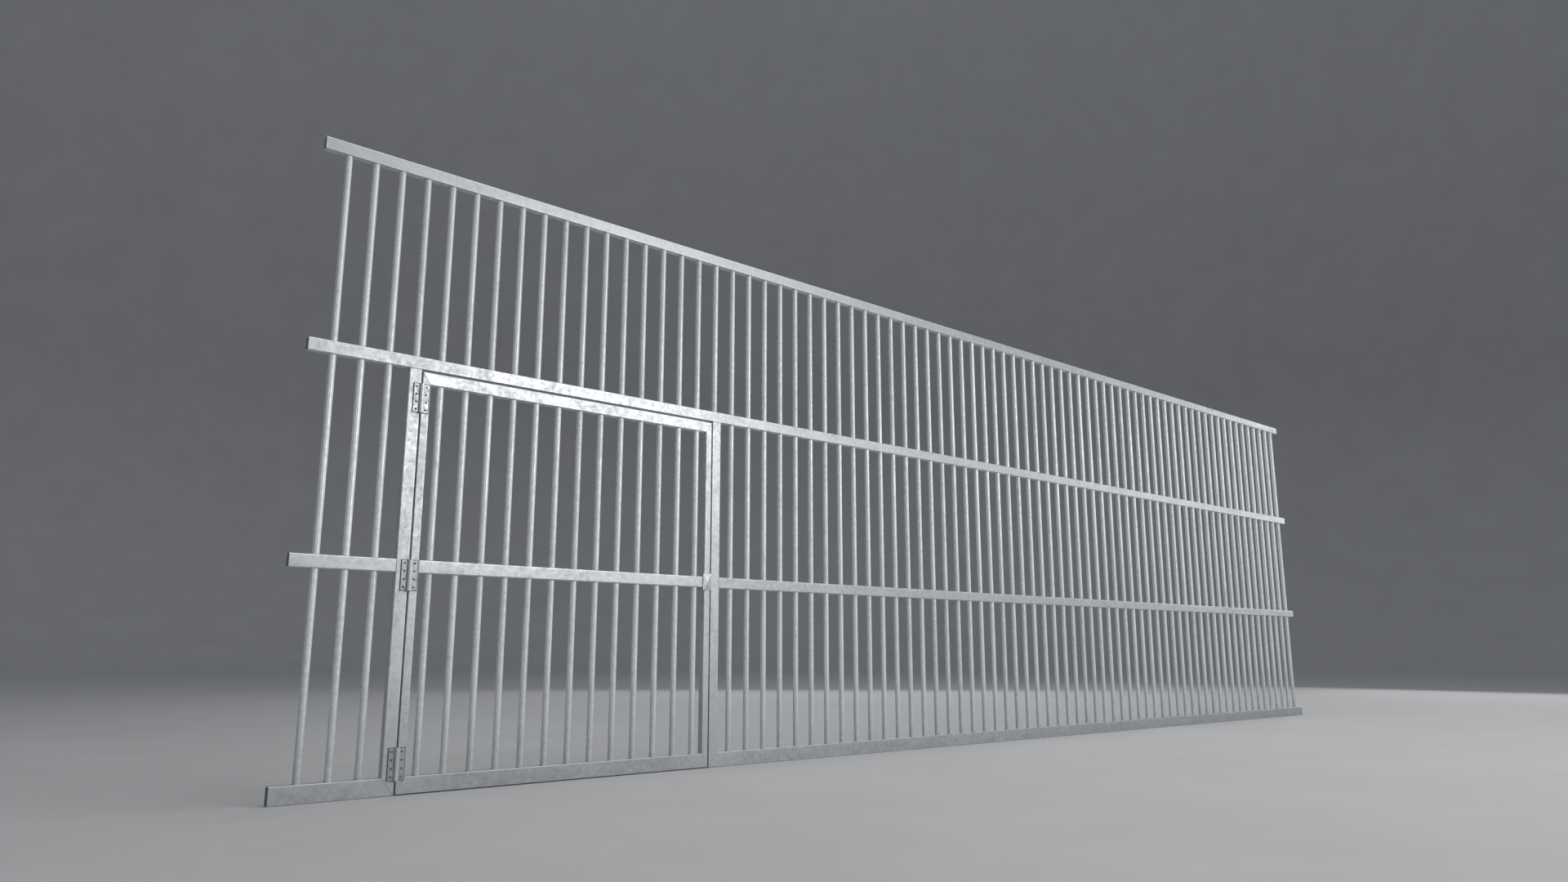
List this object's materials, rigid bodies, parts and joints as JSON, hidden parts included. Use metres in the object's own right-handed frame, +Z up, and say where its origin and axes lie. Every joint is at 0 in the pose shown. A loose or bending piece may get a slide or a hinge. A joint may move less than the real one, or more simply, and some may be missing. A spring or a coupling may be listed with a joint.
{
  "type": "livestock panel gate",
  "caption": "Long galvanised barred livestock wall panel with rails of hollow section and a hinged, bolted walk-through gate near its left end.",
  "frame": {"origin": "on the ground under the bottom rail, midway along the panel and in the middle of the rails' depth", "axes": "+X along the panel to the right as seen from the hinge side, +Y through the panel to the back, +Z up"},
  "size_m": [9.99, 0.097, 3],
  "materials": {
    "galvanised_section": "hot-dip galvanised hollow section, mottled satin zinc",
    "galvanised_bar": "galvanised round tube, satin zinc",
    "hinge_steel": "zinc-plated hinge steel, satin",
    "pin_steel": "bright turned pin, lightly greased",
    "screw_steel": "dark zinc-plated dome-head screws",
    "latch_sheet": "folded galvanised sheet, satin",
    "bolt_steel": "bright drawn bar",
    "bush_brass": "turned brass",
    "knob_plastic": "black moulded plastic"
  },
  "bodies": {
    "panel": {"top_rail": "galvanised_section", "upper_mid_rail": "galvanised_section", "lower_mid_rail_left": "galvanised_section", "lower_mid_rail_right": "galvanised_section", "bottom_rail_left": "galvanised_section", "bottom_rail_right": "galvanised_section", "hinge_post": "galvanised_section", "latch_post": "galvanised_section", "gate_stops": "galvanised_section", "left_lower_bars": "galvanised_bar", "left_middle_bars": "galvanised_bar", "left_upper_bars": "galvanised_bar", "bay_1_lower_bars": "galvanised_bar", "bay_1_middle_bars": "galvanised_bar", "bay_1_upper_bars": "galvanised_bar", "bay_2_lower_bars": "galvanised_bar", "bay_2_middle_bars": "galvanised_bar", "bay_2_upper_bars": "galvanised_bar", "bay_3_lower_bars": "galvanised_bar", "bay_3_middle_bars": "galvanised_bar", "bay_3_upper_bars": "galvanised_bar", "bay_4_lower_bars": "galvanised_bar", "bay_4_middle_bars": "galvanised_bar", "bay_4_upper_bars": "galvanised_bar", "bay_5_lower_bars": "galvanised_bar", "bay_5_middle_bars": "galvanised_bar", "bay_5_upper_bars": "galvanised_bar", "over_gate_bars": "galvanised_bar", "bottom_hinge_post_leaf": "hinge_steel", "bottom_hinge_pin": "pin_steel", "bottom_hinge_post_screws": "screw_steel", "middle_hinge_post_leaf": "hinge_steel", "middle_hinge_pin": "pin_steel", "middle_hinge_post_screws": "screw_steel", "top_hinge_post_leaf": "hinge_steel", "top_hinge_pin": "pin_steel", "top_hinge_post_screws": "screw_steel"},
    "gate": {"hinge_stile": "galvanised_section", "latch_stile": "galvanised_section", "gate_bottom_rail": "galvanised_section", "gate_mid_rail": "galvanised_section", "gate_top_rail": "galvanised_section", "gate_lower_bars": "galvanised_bar", "gate_upper_bars": "galvanised_bar", "bottom_hinge_gate_leaf": "hinge_steel", "bottom_hinge_gate_screws": "screw_steel", "middle_hinge_gate_leaf": "hinge_steel", "middle_hinge_gate_screws": "screw_steel", "top_hinge_gate_leaf": "hinge_steel", "top_hinge_gate_screws": "screw_steel", "latch_case": "latch_sheet", "latch_back_plate": "latch_sheet", "latch_plate_screws": "screw_steel", "bolt_bush_outer": "bush_brass", "bolt_bush_inner": "bush_brass"},
    "bolt": {"latch_bolt": "bolt_steel", "bolt_knob": "knob_plastic"}
  },
  "joints": [
    {"name": "gate_swing", "type": "hinge", "parent": "panel", "child": "gate", "pos_m": [-4.4625, -0.03, 0.98], "axis": [0, 0, -1], "range_deg": [0, 175]},
    {"name": "bolt_slide", "type": "slide", "parent": "gate", "child": "bolt", "axis": [1, 0, 0], "range_m": [0, 0.02]}
  ]
}
